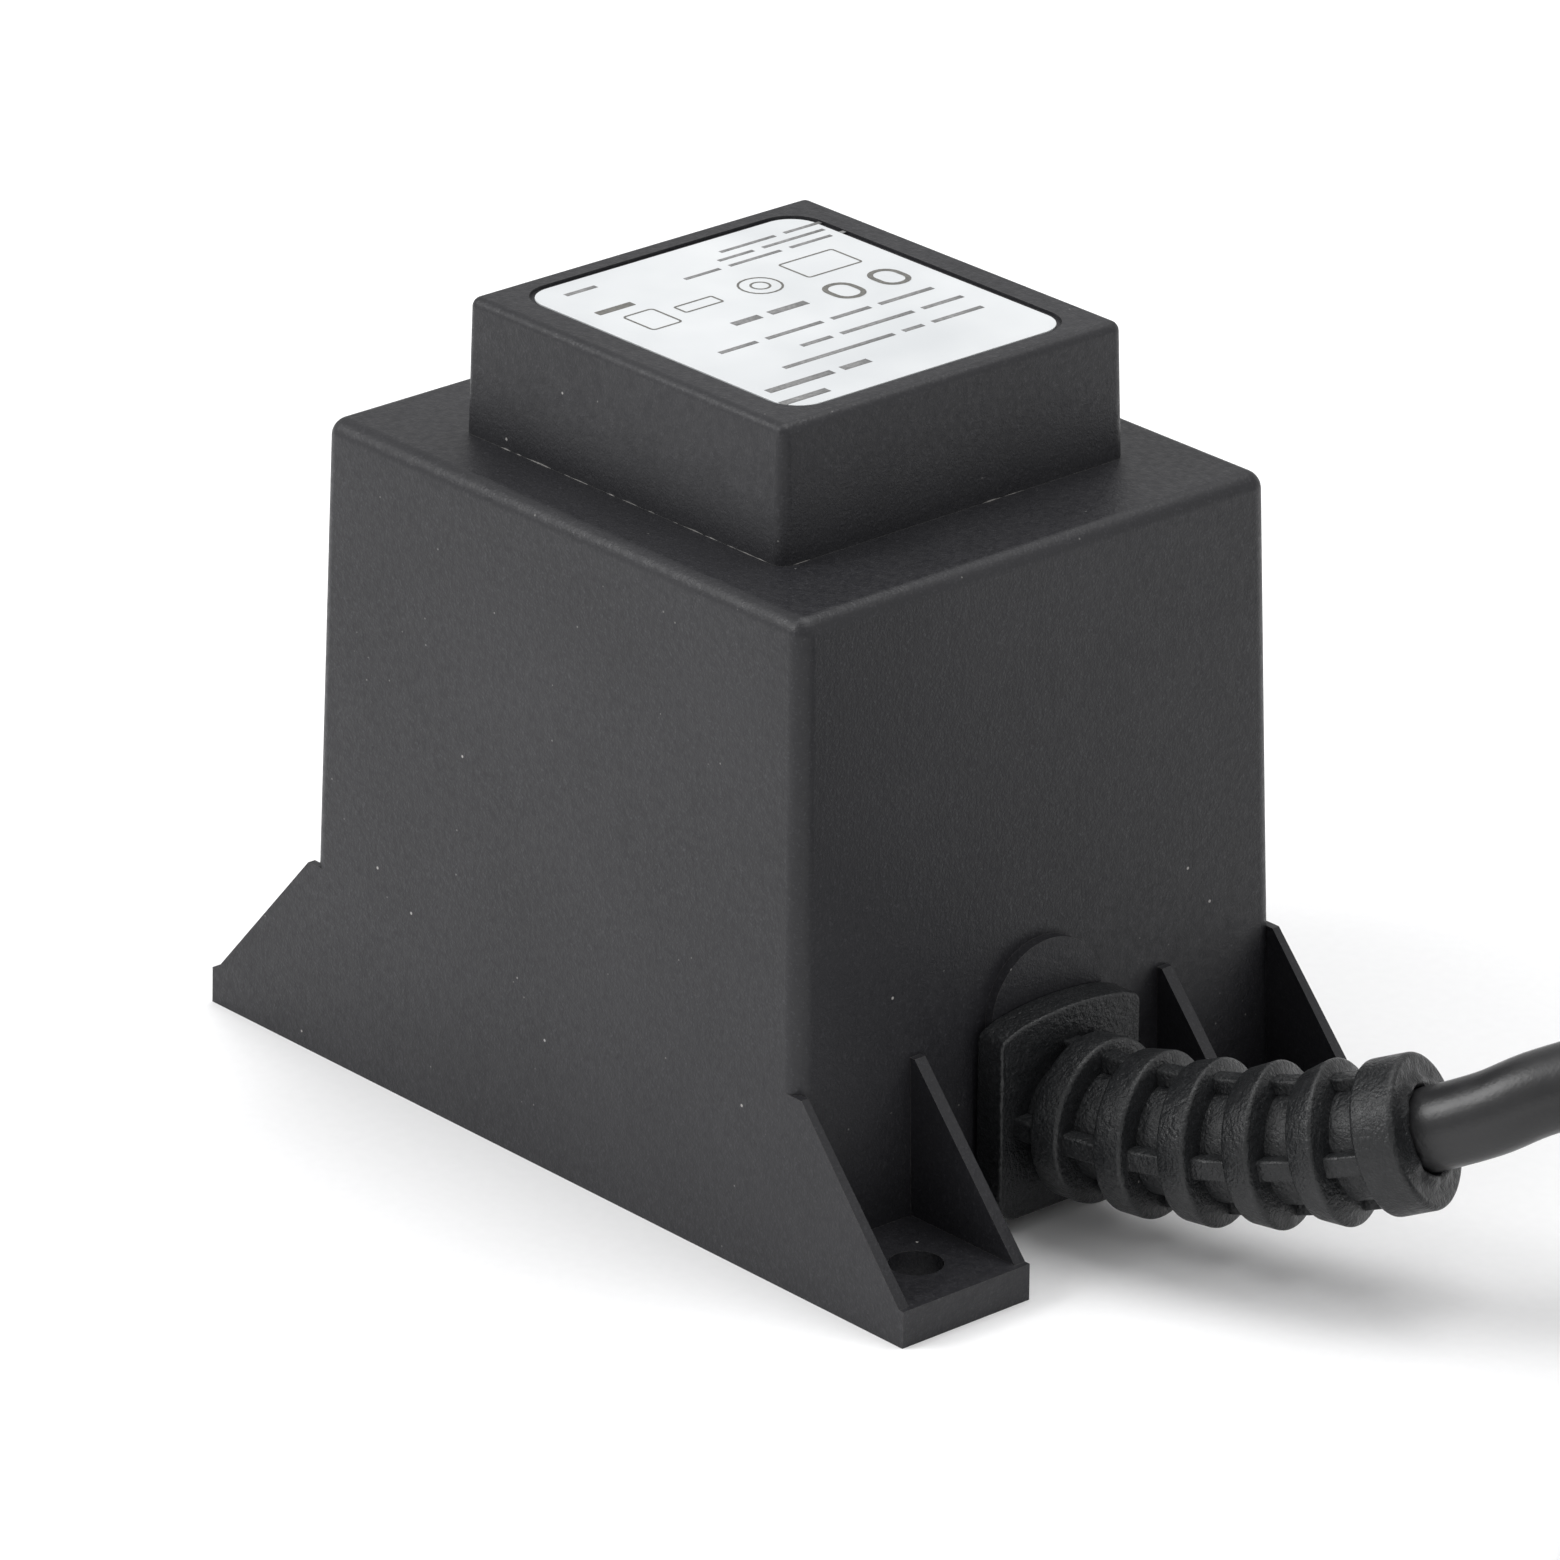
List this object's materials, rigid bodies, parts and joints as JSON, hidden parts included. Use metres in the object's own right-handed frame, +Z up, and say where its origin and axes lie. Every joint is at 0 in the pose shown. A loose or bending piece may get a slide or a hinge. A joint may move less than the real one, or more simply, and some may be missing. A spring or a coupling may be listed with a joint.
{
  "type": "plug in ac transformer",
  "caption": "Potted open-bottom transformer block on four screw feet, with a ribbed strain relief and a coiled mains lead that ends in a plug.",
  "frame": {"origin": "middle of the footprint of the housing and its feet, on the surface it stands on", "axes": "+X the way the mains lead leaves, +Z up, -Y the large plain side wall"},
  "size_m": [0.252, 0.1023, 0.0758],
  "materials": {
    "housing": "fine spark-eroded texture, black",
    "label": "silver polyester label, satin",
    "resin": "cured potting compound, glossy",
    "steel": "stacked silicon steel",
    "nylon": "natural moulded nylon",
    "copper": "enamelled copper wire",
    "wrap": "yellow insulating film",
    "fuse": "plated case",
    "tin": "tinned",
    "live": "brown insulation",
    "neutral": "blue insulation",
    "relief": "soft moulded plastic, coarse texture",
    "cord": "smooth rubber sheath, semi-gloss",
    "tie": "nylon strap",
    "plug": "moulded plug, fine texture",
    "holder": "hard insert",
    "pins": "nickel-plated brass"
  },
  "bodies": {
    "root": {"housing": "housing", "rating_label": "label", "potting_resin": "resin", "e_laminations": "steel", "i_laminations": "steel", "bobbin": "nylon", "primary_winding": "copper", "secondary_winding": "copper", "primary_wrap": "wrap", "secondary_wrap": "wrap", "thermal_fuse": "fuse", "fuse_sleeve": "nylon", "link_wire": "live", "terminal_pins": "tin", "live_wire": "live", "neutral_wire": "neutral", "output_grommet": "relief", "strain_relief": "relief", "mains_cord_run": "cord", "mains_cord_coil": "cord", "mains_cord_tail": "cord", "cord_tie": "tie", "plug_body": "plug", "plug_holder": "holder", "plug_pins": "pins"}
  },
  "joints": []
}
